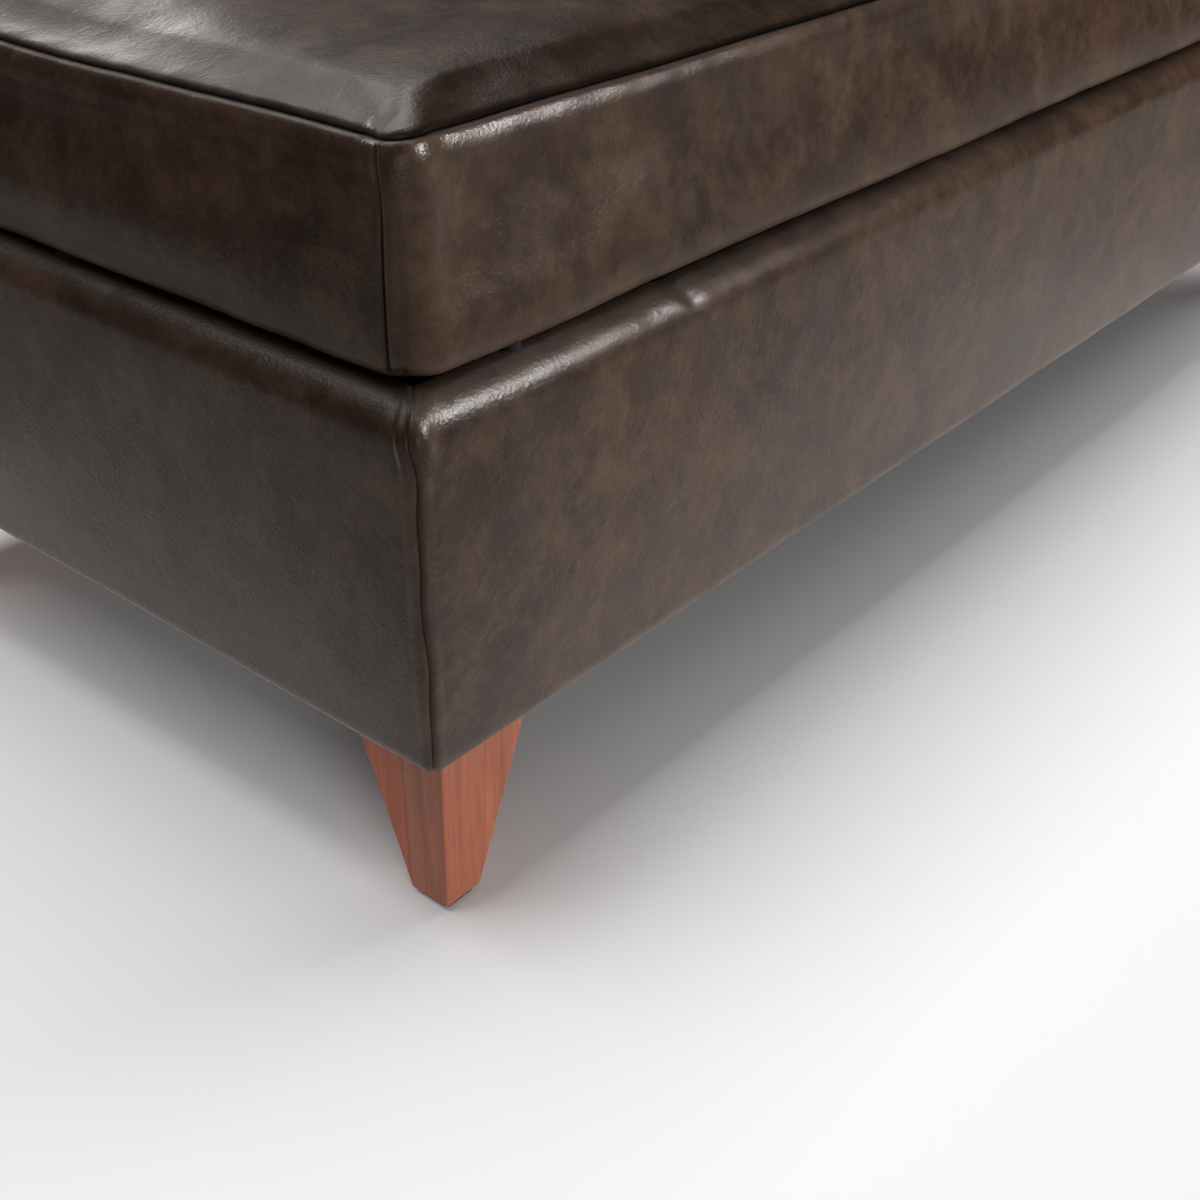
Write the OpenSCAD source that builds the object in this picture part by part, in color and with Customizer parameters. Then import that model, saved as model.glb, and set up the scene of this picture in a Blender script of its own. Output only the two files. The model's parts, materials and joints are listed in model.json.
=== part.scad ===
// Storage ottoman: a padded lid hinged at the back of an upholstered plywood box on four tapered legs.
// Millimetres, +Z up, the front faces -Y. The origin is on the floor, under the middle of the overall box.

/* [Overall] */
// Overall length, along X
width = 1400; // [1000:10:1500]
// Overall depth, along Y, from the front face to the back of the hinge barrels
depth = 610; // [520:10:720]
// Height of the seat's top above the floor
seat_h = 450; // [435:5:480]
// Height of the box's leather rim above the floor
rim_h = 321; // [316:1:340]

/* [Legs] */
// Height of the wooden leg, above its glide
leg_h = 111; // [100:1:125]
// Side of the leg's square top
leg_top = 71; // [56:1:74]
// Side of the leg's square foot
leg_foot = 28; // [24:1:40]
// How far the leg's top is set in from the box's short side
leg_inset_x = 16; // [8:1:18]
// How far the leg's foot is set in from the box's short side
foot_inset_x = 15; // [12:1:20]
// How far the leg's top is set in from the box's long side
leg_inset_y = 10; // [8:1:18]
// How far the leg's foot is set in from the box's long side
foot_inset_y = 12; // [10:1:20]
// Thickness of the glide under the leg
glide_h = 3; // [2:0.5:5]

/* [Box] */
// Thickness of the plywood side panels
panel_t = 15; // [15:1:18]
// Thickness of the foam between a panel and its leather
pad_t = 8; // [8:1:12]
// Radius of the soft roll along the rim's outer edge
roll_r = 20; // [14:1:22]
// Thickness of the leather
leather_t = 2; // [1.5:0.5:2]
// Height of the corner blocks and cleats under the storage floor
block_h = 25; // [20:1:28]
// Thickness of the storage floor panel
floor_t = 5; // [4:0.5:9]
// Thickness of the lining cloth
lining_t = 1.5; // [1:0.25:1.5]

/* [Lid] */
// How far the lid's leather is set in from the box's front and side faces
lid_inset = 10; // [6:1:14]
// Corner radius of the lid, seen from above
lid_corner_r = 24; // [18:1:40]
// Thickness of the plywood lid board
board_t = 15; // [15:1:18]
// Thickness of the batting over the foam
batting_t = 6; // [4:1:10]

/* [Hinges and stays] */
// How far the lid opens, in degrees
open_angle = 85; // [70:1:88]
// Thickness of a hinge leaf
leaf_t = 2; // [1.5:0.5:2.5]
// Length of a hinge
hinge_l = 75; // [60:5:100]
// Outer radius of the hinge barrel
barrel_r = 4; // [4:0.5:5]
// Radius of the hinge pin
pin_r = 2; // [1.5:0.25:2]
// Distance from the hinge axis to both pivots of a lid stay
stay_reach = 95; // [88:1:98]
// Angle at the hinge axis between the two pivots of a stay, lid shut
stay_spread = 20; // [18:1:24]

/* [Hidden] */
$fn = 48;

clear = 0.06;       // radial clearance of a pin or screw in its hole
seam_gap = 0.1;     // half the gap between two leather panels at a corner seam
eps = 0.01;

// Heights, from the floor up
dust_z = glide_h + leg_h;                    // underside of the dust cover, where the legs stop
dust_t = 1;
box_z = dust_z + dust_t;                     // underside of the box's leather
panel_z = box_z + leather_t;                 // underside of the panels
floor_z = panel_z + block_h;                 // underside of the storage floor
lining_z = floor_z + floor_t;                // underside of the lining
roll_h = 19;                                 // foam above the front and side panels
back_top_z = rim_h - leather_t;              // top of the back panel, which holds the hinges
panel_top_z = back_top_z - roll_h;           // top of the front and side panels
leather_in_z = panel_top_z - 7;              // where the leather inside the rim ends
hinge_z = rim_h + leaf_t + 0.5;              // hinge axis
lid_z = rim_h + 2 * leaf_t + 1;              // underside of the lid
board_z = lid_z + leather_t;

// Depths, in from the box's leather faces
panel_v = leather_t + pad_t;                 // outer face of a panel
wall_v = panel_v + panel_t;                  // inner face of a panel

// Plan of the box
box_front = -depth / 2;
box_back = depth / 2 - 2 * barrel_r - 0.5;
box_d = box_back - box_front;
box_cy = (box_front + box_back) / 2;
hinge_y = depth / 2 - barrel_r;

// Plan of the lid
lid_back_inset = 4;
lid_w = width - 2 * lid_inset;
lid_front = box_front + lid_inset;
lid_back = box_back - lid_back_inset;
lid_d = lid_back - lid_front;
lid_cy = (lid_front + lid_back) / 2;
foam_v = leather_t + 4;                      // side of the foam, in from the lid's leather
board_v = 13;                                // side of the board, in from the lid's leather
return_v = 30;                               // width of leather turned under the lid
foam_top_z = seat_h - leather_t - batting_t;

// Box leather and foam sections
back_roll_r = 8;
rim_in_r = 4;
foot_r = 3;
under_v = 34;                                // width of leather turned under the box

// Hinges
hinge_x = width / 2 - 190;
hinge_screw_v = 18;
hinge_screw_x = 25;
hinge_screw_l = 20;
knuckles = 5;
screw_r = 2;
screw_head_r = 4;

// Legs and their bolts
leg_axis_x = leg_inset_x + leg_top / 2;
leg_axis_y = leg_inset_y + leg_top / 2;
foot_axis_x = foot_inset_x + leg_foot / 2;
foot_axis_y = foot_inset_y + leg_foot / 2;
bolt_r = 4;
bolt_up = 22;                                // bolt above the leg's top
bolt_down = 45;
glide_side = 23;
glide_nail = 11;
nail_r = 1.2;

// Stays: the pin in the slot and the rivet on the lid are equally far from the hinge axis, so an arm
// turns by half the lid's angle and its slot always lies over the pin
rivet_drop = 12;                             // rivet below the lid's underside
rivet_dz = lid_z - rivet_drop - hinge_z;
rivet_angle = asin(-rivet_dz / stay_reach);
stud_angle = rivet_angle + stay_spread;
rivet_y = hinge_y - stay_reach * cos(rivet_angle);
rivet_z = hinge_z + rivet_dz;
stud_y = hinge_y - stay_reach * cos(stud_angle);
stud_z = hinge_z - stay_reach * sin(stud_angle);
slot_near = 2 * stay_reach * sin(stay_spread / 2) - 2.5;
slot_far = 2 * stay_reach * sin((stay_spread + open_angle) / 2) + 0.3;
arm_tilt = 90 - atan2(rivet_z - stud_z, stud_y - rivet_y);
arm_r = 9;
arm_t = 2;
lining_x = width / 2 - wall_v - lining_t;    // inner face of the lining at the sides
arm_x = lining_x - 12.5;                     // inner face of an arm
stud_r = 3;
slot_r = stud_r + 0.12;
tab_x = arm_x + arm_t + 1;                   // inner face of the bracket's tab
tab_r = 9;

function arc(cx, cy, r, from, to, steps = 8) =
    [for (i = [0:steps]) let (a = from + (to - from) * i / steps) [cx + r * cos(a), cy + r * sin(a)]];

// ---------------------------------------------------------------- helpers

// Children drawn with x along the side, y inwards from its outer face and z up
module on_side(side) {
    if (side == "front") translate([0, box_front, 0]) children();
    if (side == "back") translate([0, box_back, 0]) rotate([0, 0, 180]) children();
    if (side == "left") translate([-width / 2, box_cy, 0]) rotate([0, 0, -90]) children();
    if (side == "right") translate([width / 2, box_cy, 0]) rotate([0, 0, 90]) children();
}

function side_length(side) = side == "front" || side == "back" ? width : box_d;

module on_lid_side(side) {
    if (side == "front") translate([0, lid_front, 0]) children();
    if (side == "back") translate([0, lid_back, 0]) rotate([0, 0, 180]) children();
    if (side == "left") translate([-lid_w / 2, lid_cy, 0]) rotate([0, 0, -90]) children();
    if (side == "right") translate([lid_w / 2, lid_cy, 0]) rotate([0, 0, 90]) children();
}

function lid_side_length(side) = side == "front" || side == "back" ? lid_w : lid_d;

// A section of inward distance and height, drawn out along a side
module along_side(length) {
    rotate([90, 0, 90]) linear_extrude(length, center = true) children();
}

// The wedge of plan that one side owns, cut at 45 degrees from both corners
module mitre(length, reach) {
    half = length / 2 - seam_gap;
    linear_extrude(seat_h + 10)
        polygon([[-half, 0], [half, 0], [half - reach, reach], [reach - half, reach]]);
}

module rounded_rect(w, d, r) {
    square([w - 2 * r, d], center = true);
    square([w, d - 2 * r], center = true);
    for (x = [-1, 1], y = [-1, 1]) translate([x * (w / 2 - r), y * (d / 2 - r)]) circle(r);
}

// A box wall's section, from one inward distance to another, with soft top corners and foot
module soft_wall(v0, v1, z0, z1, r_out, r_in, r_foot) {
    polygon(concat(
        [[v1, z0]],
        arc(v1 - r_in, z1 - r_in, r_in, 0, 90),
        arc(v0 + r_out, z1 - r_out, r_out, 90, 180),
        arc(v0 + r_foot, z0 + r_foot, r_foot, 180, 270)
    ));
}

module at_corner(x_side, y_side) {
    y_face = y_side < 0 ? box_front : box_back;
    translate([x_side * width / 2, y_face, 0]) scale([-x_side, -y_side, 1]) children();
}

module at_corners() {
    for (x = [-1, 1], y = [-1, 1]) translate([
        x * (width / 2 - leg_axis_x), y < 0 ? box_front + leg_axis_y : box_back - leg_axis_y, 0
    ]) children();
}

module at_frame_screws() {
    for (y = [-1, 1], x = [-1, 1], z = [0.2, 0.5, 0.8])
        translate([x * (width / 2 - panel_v - panel_t / 2), y < 0 ? box_front + panel_v : box_back - panel_v,
                   panel_z + z * (panel_top_z - panel_z)])
            rotate([y < 0 ? -90 : 90, 0, 0]) children();
}

module at_hinges() {
    for (i = [-1:1]) translate([i * hinge_x, 0, 0]) children();
}

module at_hinge_screws() {
    at_hinges() for (x = [-hinge_screw_x, hinge_screw_x])
        translate([x, box_back - hinge_screw_v, 0]) children();
}

module at_bracket_screws() {
    for (x = [-1, 1], y = [-9, 9]) translate([x * (tab_x - 20), rivet_y + y, lid_z]) children();
}

// ---------------------------------------------------------------- box frame

module frame_screw(r, extra = 0) {
    cylinder(h = 4 + extra, r1 = 4.5 + extra, r2 = r);
    cylinder(h = 45 + extra, r = r);
}

// A panel over the box's whole length, whose top stands up to another height between the side panels
module long_panel(middle_top_z) {
    translate([-width / 2 + panel_v, panel_v, panel_z])
        cube([width - 2 * panel_v, panel_t, panel_top_z - panel_z]);
    translate([-width / 2 + wall_v, panel_v, panel_z])
        cube([width - 2 * wall_v, panel_t, middle_top_z - panel_z]);
}

module front_panel() {
    color("burlywood") difference() {
        on_side("front") long_panel(panel_top_z);
        at_frame_screws() frame_screw(screw_r + clear, clear);
    }
}

module back_panel() {
    color("burlywood") difference() {
        on_side("back") long_panel(back_top_z);
        at_frame_screws() frame_screw(screw_r + clear, clear);
        at_hinge_screws() translate([0, 0, rim_h - hinge_screw_l])
            cylinder(h = hinge_screw_l, r = screw_r + clear);
    }
}

module side_panel(side) {
    length = box_d - 2 * wall_v;
    color("burlywood") difference() {
        on_side(side) translate([-length / 2, panel_v, panel_z])
            cube([length, panel_t, panel_top_z - panel_z]);
        at_frame_screws() frame_screw(screw_r + clear, clear);
        stay_stud_hole(side == "left" ? -1 : 1);
    }
}

module stay_stud_hole(x_side) {
    translate([x_side * (lining_x + 0.5 * (lining_t + panel_t)), stud_y, stud_z])
        rotate([0, 90, 0]) cylinder(h = panel_t, r = 2.5 + clear, center = true);
}

module storage_floor() {
    color("tan") translate([-width / 2 + wall_v, box_front + wall_v, floor_z])
        cube([width - 2 * wall_v, box_d - 2 * wall_v, floor_t]);
}

block_side = 90;

module bottom_cleats() {
    cleat_t = 20;
    color("wheat") for (side = ["front", "back"]) on_side(side)
        translate([-width / 2 + wall_v + block_side + 2, wall_v, panel_z])
            cube([width - 2 * (wall_v + block_side + 2), cleat_t, block_h]);
}

module corner_block(x_side, y_side) {
    color("wheat") at_corner(x_side, y_side) difference() {
        translate([wall_v, wall_v, panel_z]) linear_extrude(block_h)
            polygon([[0, 0], [block_side, 0], [block_side, 15], [15, block_side], [0, block_side]]);
        translate([leg_axis_x, leg_axis_y, panel_z - eps]) cylinder(h = block_h + 1, r = 5);
        translate([leg_axis_x, leg_axis_y, floor_z - 2]) cylinder(h = 3, r = 11);
    }
}

module frame_screws() {
    color("gray") at_frame_screws() frame_screw(screw_r);
}

module tee_nuts() {
    color("silver") at_corners() difference() {
        union() {
            translate([0, 0, floor_z - 1.8]) cylinder(h = 1.5, r = 10.5);
            translate([0, 0, floor_z - 12]) cylinder(h = 11, r = 5 - clear);
        }
        translate([0, 0, floor_z - 13]) cylinder(h = 14, r = bolt_r + clear);
    }
}

module storage_lining() {
    w = width - 2 * wall_v;
    d = box_d - 2 * wall_v;
    color("dimgray") difference() {
        translate([-w / 2, box_cy - d / 2, lining_z]) cube([w, d, leather_in_z - 0.5 - lining_z]);
        translate([-w / 2 + lining_t, box_cy - d / 2 + lining_t, lining_z + lining_t])
            cube([w - 2 * lining_t, d - 2 * lining_t, seat_h]);
        for (x = [-1, 1]) translate([x * (lining_x + lining_t / 2), stud_y, stud_z])
            rotate([0, 90, 0]) cylinder(h = 6, r = stud_r + clear, center = true);
    }
}

module dust_cover() {
    edge = 8;
    color("black") difference() {
        translate([-width / 2 + edge, box_front + edge, dust_z])
            cube([width - 2 * edge, box_d - 2 * edge, dust_t]);
        at_corners() translate([0, 0, dust_z - 1]) cylinder(h = 3, r = bolt_r + 1);
    }
}

// ---------------------------------------------------------------- box upholstery

// Radius under the rim's inner edge: the back panel's own corner is square
function inner_r(side) = side == "back" ? eps : rim_in_r - leather_t;

module foam_run(side) {
    r = side == "back" ? back_roll_r : roll_r;
    in_v = side == "back" ? panel_v : wall_v;
    color("khaki") on_side(side) intersection() {
        along_side(width) difference() {
            soft_wall(leather_t, in_v, panel_z, back_top_z, r - leather_t, inner_r(side), eps);
            translate([panel_v, panel_z - 1]) square([panel_t + 1, panel_top_z - panel_z + 1]);
        }
        mitre(side_length(side), 60);
    }
}

module leather_run(side) {
    r = side == "back" ? back_roll_r : roll_r;
    in_v = wall_v + leather_t;
    color("saddlebrown") difference() {
        on_side(side) intersection() {
            along_side(width) difference() {
                union() {
                    soft_wall(0, in_v, box_z, rim_h, r, rim_in_r, foot_r);
                    translate([foot_r, box_z]) square([under_v - foot_r, leather_t]);
                }
                soft_wall(leather_t, wall_v, panel_z, back_top_z, r - leather_t, inner_r(side), eps);
                translate([wall_v - eps, panel_z]) square([in_v, leather_in_z - panel_z]);
            }
            mitre(side_length(side), 60);
        }
        if (side == "back") at_hinge_screws() translate([0, 0, rim_h - 5])
            cylinder(h = 10, r = screw_r + clear);
    }
}

// ---------------------------------------------------------------- legs

module leg_profile(top_inset, foot_inset) {
    polygon([
        [foot_inset, glide_h], [foot_inset + leg_foot, glide_h],
        [top_inset + leg_top, dust_z], [top_inset, dust_z],
    ]);
}

module leg(x_side, y_side) {
    reach = 200;
    color("sienna") at_corner(x_side, y_side) difference() {
        intersection() {
            translate([0, reach, 0]) rotate([90, 0, 0]) linear_extrude(reach)
                leg_profile(leg_inset_x, foot_inset_x);
            rotate([90, 0, 90]) linear_extrude(reach) leg_profile(leg_inset_y, foot_inset_y);
        }
        translate([leg_axis_x, leg_axis_y, dust_z - bolt_down])
            cylinder(h = bolt_down + 1, r = bolt_r + clear);
        translate([foot_axis_x, foot_axis_y, 0]) cylinder(h = glide_h + glide_nail + 1, r = nail_r + clear);
    }
}

module hanger_bolts() {
    color("silver") at_corners() translate([0, 0, dust_z - bolt_down + 0.5])
        cylinder(h = bolt_down + bolt_up - 0.5, r = bolt_r);
}

module leg_glides() {
    color("black") for (x = [-1, 1], y = [-1, 1]) at_corner(x, y) translate([foot_axis_x, foot_axis_y, 0]) {
        linear_extrude(glide_h) rounded_rect(glide_side, glide_side, 3);
        cylinder(h = glide_h + glide_nail, r = nail_r);
    }
}

// ---------------------------------------------------------------- hinges, along X at the back rim

module knuckle(i, r, h_extra = 0) {
    pitch = hinge_l / knuckles;
    translate([-hinge_l / 2 + i * pitch + 0.15 - h_extra / 2, hinge_y, hinge_z])
        rotate([0, 90, 0]) cylinder(h = pitch - 0.3 + h_extra, r = r);
}

module leaf_blank(z, own, other) {
    leaf_in = box_back - 25.5;
    difference() {
        union() {
            translate([-hinge_l / 2 + 0.15, leaf_in, z]) cube([hinge_l - 0.3, hinge_y - leaf_in, leaf_t]);
            for (i = own) knuckle(i, barrel_r);
        }
        for (i = other) knuckle(i, barrel_r + 0.5, 0.6);
        translate([0, hinge_y, hinge_z]) rotate([0, 90, 0])
            cylinder(h = hinge_l + 2, r = pin_r + clear, center = true);
    }
}

module box_leaf(i) {
    color("darkgray") translate([i * hinge_x, 0, 0]) difference() {
        leaf_blank(rim_h, [0, 2, 4], [1, 3]);
        for (x = [-hinge_screw_x, hinge_screw_x]) translate([x, box_back - hinge_screw_v, rim_h - eps]) {
            cylinder(h = leaf_t + 2 * eps, r1 = screw_r + clear, r2 = screw_head_r + clear);
        }
    }
}

module lid_leaf(i) {
    color("darkgray") translate([i * hinge_x, 0, 0]) difference() {
        leaf_blank(lid_z - leaf_t, [1, 3], [0, 2, 4]);
        for (x = [-hinge_screw_x, hinge_screw_x])
            translate([x, box_back - hinge_screw_v, lid_z - leaf_t - eps])
                cylinder(h = leaf_t + 2 * eps, r1 = screw_head_r + clear, r2 = screw_r + clear);
    }
}

module hinge_pin(i) {
    color("gray") translate([i * hinge_x, hinge_y, hinge_z]) rotate([0, 90, 0])
        cylinder(h = hinge_l - 0.3, r = pin_r, center = true);
}

module countersunk_screw(length) {
    cylinder(h = leaf_t, r1 = screw_head_r, r2 = screw_r);
    cylinder(h = length, r = screw_r);
}

module hinge_box_screws() {
    color("gray") at_hinge_screws() translate([0, 0, rim_h + leaf_t]) mirror([0, 0, 1])
        countersunk_screw(hinge_screw_l + 1);
}

module hinge_lid_screws() {
    color("gray") at_hinge_screws() translate([0, 0, lid_z - leaf_t]) countersunk_screw(14);
}

// ---------------------------------------------------------------- slotted lid stays

module slot_shape(from, to, r) {
    translate([from, -r]) square([to - from, 2 * r]);
    for (x = [from, to]) translate([x, 0]) circle(r);
}

module stay_arm(x_side) {
    color("silver") scale([x_side, 1, 1]) translate([arm_x, rivet_y, rivet_z]) rotate([arm_tilt, 0, 0])
        rotate([0, 90, 0]) linear_extrude(arm_t) difference() {
            slot_shape(0, slot_far, arm_r);
            slot_shape(slot_near, slot_far, slot_r);
            circle(stud_r + clear);
        }
}

module stay_stud(x_side) {
    color("silver") scale([x_side, 1, 1]) translate([0, stud_y, stud_z]) rotate([0, 90, 0]) {
        translate([0, 0, arm_x - 3.2]) cylinder(h = 3, r = 6);
        translate([0, 0, arm_x - 1]) cylinder(h = lining_x - arm_x + 1, r = stud_r);
        translate([0, 0, lining_x - 1]) cylinder(h = lining_t + panel_t - 1, r = 2.5);
    }
}

module stay_spacers() {
    near = arm_x + arm_t + 0.4;
    color("ivory") for (x = [-1, 1]) scale([x, 1, 1]) translate([near, stud_y, stud_z]) rotate([0, 90, 0])
        difference() {
            cylinder(h = lining_x - near, r = 6);
            translate([0, 0, -1]) cylinder(h = lining_x, r = stud_r + clear);
        }
}

module stay_bracket(x_side) {
    plate = 32;
    color("silver") scale([x_side, 1, 1]) difference() {
        union() {
            translate([tab_x + 2 - plate, rivet_y - 15, lid_z - 2]) cube([plate, 30, 2]);
            translate([tab_x, rivet_y, rivet_z]) rotate([0, 90, 0]) cylinder(h = 2, r = tab_r);
            translate([tab_x, rivet_y - tab_r, rivet_z]) cube([2, 2 * tab_r, rivet_drop]);
        }
        translate([0, rivet_y, rivet_z]) rotate([0, 90, 0]) cylinder(h = width, r = stud_r + clear);
        for (y = [-9, 9])
            translate([tab_x - 20, rivet_y + y, lid_z - 5]) cylinder(h = 9, r = screw_r + clear);
    }
}

module stay_rivets() {
    color("silver") for (x = [-1, 1]) scale([x, 1, 1])
        translate([arm_x, rivet_y, rivet_z]) rotate([0, 90, 0]) {
            translate([0, 0, -1.7]) cylinder(h = 1.5, r = 5);
            translate([0, 0, -1]) cylinder(h = 7, r = stud_r);
            translate([0, 0, 5.1]) cylinder(h = 1.2, r = 5);
        }
}

module stay_washers() {
    color("ivory") for (x = [-1, 1]) scale([x, 1, 1]) translate([arm_x + arm_t + 0.1, rivet_y, rivet_z])
        rotate([0, 90, 0]) difference() {
            cylinder(h = 0.8, r = 7);
            translate([0, 0, -1]) cylinder(h = 3, r = stud_r + clear);
        }
}

module stay_bracket_screws() {
    color("gray") at_bracket_screws() {
        translate([0, 0, -3.5]) cylinder(h = 1.5, r = 3.8);
        translate([0, 0, -3]) cylinder(h = 15, r = screw_r);
    }
}

// ---------------------------------------------------------------- lid

// The lid's outline, set in by one distance from the front and sides and another from the back
module lid_outline(v, v_back, r) {
    translate([0, lid_cy + (v - v_back) / 2]) rounded_rect(lid_w - 2 * v, lid_d - v - v_back, r);
}

module lid_screw_holes() {
    at_hinge_screws() translate([0, 0, lid_z - 5]) cylinder(h = 17.5, r = screw_r + clear);
    at_bracket_screws() translate([0, 0, -5]) cylinder(h = 17.5, r = screw_r + clear);
}

module lid_board() {
    color("burlywood") difference() {
        translate([0, 0, board_z]) linear_extrude(board_t) lid_outline(board_v, foam_v, 12);
        lid_screw_holes();
    }
}

module lid_foam() {
    color("khaki") translate([0, 0, board_z + board_t])
        linear_extrude(foam_top_z - board_z - board_t) lid_outline(foam_v, foam_v, lid_corner_r - foam_v);
}

module lid_batting() {
    color("white") difference() {
        translate([0, 0, board_z]) linear_extrude(seat_h - leather_t - board_z)
            lid_outline(leather_t, leather_t, lid_corner_r - leather_t);
        translate([0, 0, board_z - 1]) linear_extrude(board_t + 1) lid_outline(board_v, foam_v, 12);
        translate([0, 0, board_z + board_t - eps]) linear_extrude(foam_top_z - board_z - board_t + eps)
            lid_outline(foam_v, foam_v, lid_corner_r - foam_v);
    }
}

module lid_leather_top() {
    color("saddlebrown") translate([0, 0, seat_h - leather_t]) linear_extrude(leather_t)
        lid_outline(0, 0, lid_corner_r);
}

module lid_band(side) {
    band_h = seat_h - leather_t - board_z;
    color("saddlebrown") difference() {
        intersection() {
            union() {
                translate([0, 0, board_z]) linear_extrude(band_h) difference() {
                    lid_outline(0, 0, lid_corner_r);
                    lid_outline(leather_t, leather_t, lid_corner_r - leather_t);
                }
                translate([0, 0, lid_z]) linear_extrude(leather_t) difference() {
                    lid_outline(0, 0, lid_corner_r);
                    lid_outline(return_v, return_v, 4);
                }
            }
            on_lid_side(side) mitre(lid_side_length(side), 60);
        }
        lid_screw_holes();
    }
}

module lid_lining() {
    color("dimgray") difference() {
        translate([0, 0, board_z - 1.2]) linear_extrude(1.2) lid_outline(return_v + 0.3, return_v + 0.3, 4);
        lid_screw_holes();
    }
}

module lid_pads() {
    v = 22;
    color("black") for (x = [-1, 1]) {
        translate([x * (width / 2 - 90), box_front + v, rim_h + 0.3])
            cylinder(h = lid_z - rim_h - 0.3, r = 6);
        translate([x * (width / 2 - v), box_cy, rim_h + 0.3])
            cylinder(h = lid_z - rim_h - 0.3, r = 6);
    }
}

// ---------------------------------------------------------------- nodes

front_panel();
back_panel();
side_panel("left");  // left_panel
side_panel("right");  // right_panel
storage_floor();
bottom_cleats();
corner_block(-1, -1);  // corner_block_front_left
corner_block(1, -1);  // corner_block_front_right
corner_block(-1, 1);  // corner_block_back_left
corner_block(1, 1);  // corner_block_back_right
frame_screws();
tee_nuts();
storage_lining();
dust_cover();
foam_run("front");  // foam_front
foam_run("back");  // foam_back
foam_run("left");  // foam_left
foam_run("right");  // foam_right
leather_run("front");  // leather_front
leather_run("back");  // leather_back
leather_run("left");  // leather_left
leather_run("right");  // leather_right
leg(-1, -1);  // leg_front_left
leg(1, -1);  // leg_front_right
leg(-1, 1);  // leg_back_left
leg(1, 1);  // leg_back_right
hanger_bolts();
leg_glides();
box_leaf(-1);  // hinge_left_box_leaf
box_leaf(0);  // hinge_middle_box_leaf
box_leaf(1);  // hinge_right_box_leaf
lid_leaf(-1);  // hinge_left_lid_leaf
lid_leaf(0);  // hinge_middle_lid_leaf
lid_leaf(1);  // hinge_right_lid_leaf
hinge_pin(-1);  // hinge_left_pin
hinge_pin(0);  // hinge_middle_pin
hinge_pin(1);  // hinge_right_pin
hinge_box_screws();
hinge_lid_screws();
stay_arm(-1);  // stay_arm_left
stay_arm(1);  // stay_arm_right
stay_stud(-1);  // stay_stud_left
stay_stud(1);  // stay_stud_right
stay_spacers();
stay_bracket(-1);  // stay_bracket_left
stay_bracket(1);  // stay_bracket_right
stay_rivets();
stay_washers();
stay_bracket_screws();
lid_board();
lid_foam();
lid_batting();
lid_leather_top();
lid_band("front");  // lid_band_front
lid_band("back");  // lid_band_back
lid_band("left");  // lid_band_left
lid_band("right");  // lid_band_right
lid_lining();
lid_pads();
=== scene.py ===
import json
import math

import bpy
import numpy as np
from mathutils import Matrix, Vector


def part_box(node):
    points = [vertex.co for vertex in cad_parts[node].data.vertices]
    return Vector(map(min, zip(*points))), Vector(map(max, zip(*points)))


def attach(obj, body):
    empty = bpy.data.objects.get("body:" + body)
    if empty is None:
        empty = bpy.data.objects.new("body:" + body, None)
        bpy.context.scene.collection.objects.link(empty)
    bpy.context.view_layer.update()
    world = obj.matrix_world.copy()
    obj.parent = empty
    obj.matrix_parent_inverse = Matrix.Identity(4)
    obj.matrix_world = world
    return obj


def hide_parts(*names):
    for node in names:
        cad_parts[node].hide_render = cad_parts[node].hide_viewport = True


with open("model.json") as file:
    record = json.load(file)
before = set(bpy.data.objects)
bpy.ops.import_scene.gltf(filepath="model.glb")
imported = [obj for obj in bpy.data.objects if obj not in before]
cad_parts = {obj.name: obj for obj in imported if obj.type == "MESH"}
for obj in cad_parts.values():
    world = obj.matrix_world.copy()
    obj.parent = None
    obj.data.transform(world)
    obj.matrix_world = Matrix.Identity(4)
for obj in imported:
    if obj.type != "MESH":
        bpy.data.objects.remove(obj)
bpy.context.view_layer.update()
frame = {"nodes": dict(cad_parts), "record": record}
MM = 0.001


def mm_box(*nodes):
    """Lowest and highest corner of some CAD nodes together, in millimetres."""
    lo = np.min([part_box(n)[0] for n in nodes], axis=0) * 1000
    hi = np.max([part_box(n)[1] for n in nodes], axis=0) * 1000
    return lo, hi


box_lo, box_hi = mm_box("leather_front", "leather_back", "leather_left", "leather_right")
lid_lo, lid_hi = mm_box("lid_leather_top", "lid_band_front", "lid_band_back", "lid_band_left", "lid_band_right")
W, FRONT, BACK = box_hi[0], box_lo[1], box_hi[1]
BOX_Z, RIM_Z = box_lo[2], box_hi[2]
LID_Z, SEAT_Z = lid_lo[2], lid_hi[2]

# ------------------------------------------------------------------ noise and curves


def value_noise(p, scale, seed):
    """Smooth noise from -1 to 1 at points p (n, 3), one cell per scale."""
    q = p / scale + seed * 7.317
    i = np.floor(q).astype(np.int64)
    f = q - i
    f = f * f * (3 - 2 * f)
    total = np.zeros(len(p))
    for dx in (0, 1):
        for dy in (0, 1):
            for dz in (0, 1):
                n = (i[:, 0] + dx) * 73856093 ^ (i[:, 1] + dy) * 19349663
                n = n ^ (i[:, 2] + dz) * 83492791 ^ (seed * 6542989)
                n = ((n ^ (n >> 13)) * 1274126177) & 0xFFFFFFFF
                n = ((n ^ (n >> 15)) * 2246822519) & 0xFFFFFFFF
                n = n ^ (n >> 16)
                h = (n & 0xFFFF) / 32767.5 - 1
                w = (f[:, 0] if dx else 1 - f[:, 0]) * (f[:, 1] if dy else 1 - f[:, 1])
                w = w * (f[:, 2] if dz else 1 - f[:, 2])
                total += w * h
    return total


def fbm(p, scale, seed, octaves=3):
    """Layers of value noise, each half as big and half as strong as the last."""
    out, amp = np.zeros(len(p)), 1.0
    for k in range(octaves):
        out += amp * value_noise(p, scale / 2**k, seed + k)
        amp *= 0.5
    return out


def bell(x, width):
    """1 at x = 0, falling off smoothly over width."""
    return np.exp(-((x / width) ** 2))


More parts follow.
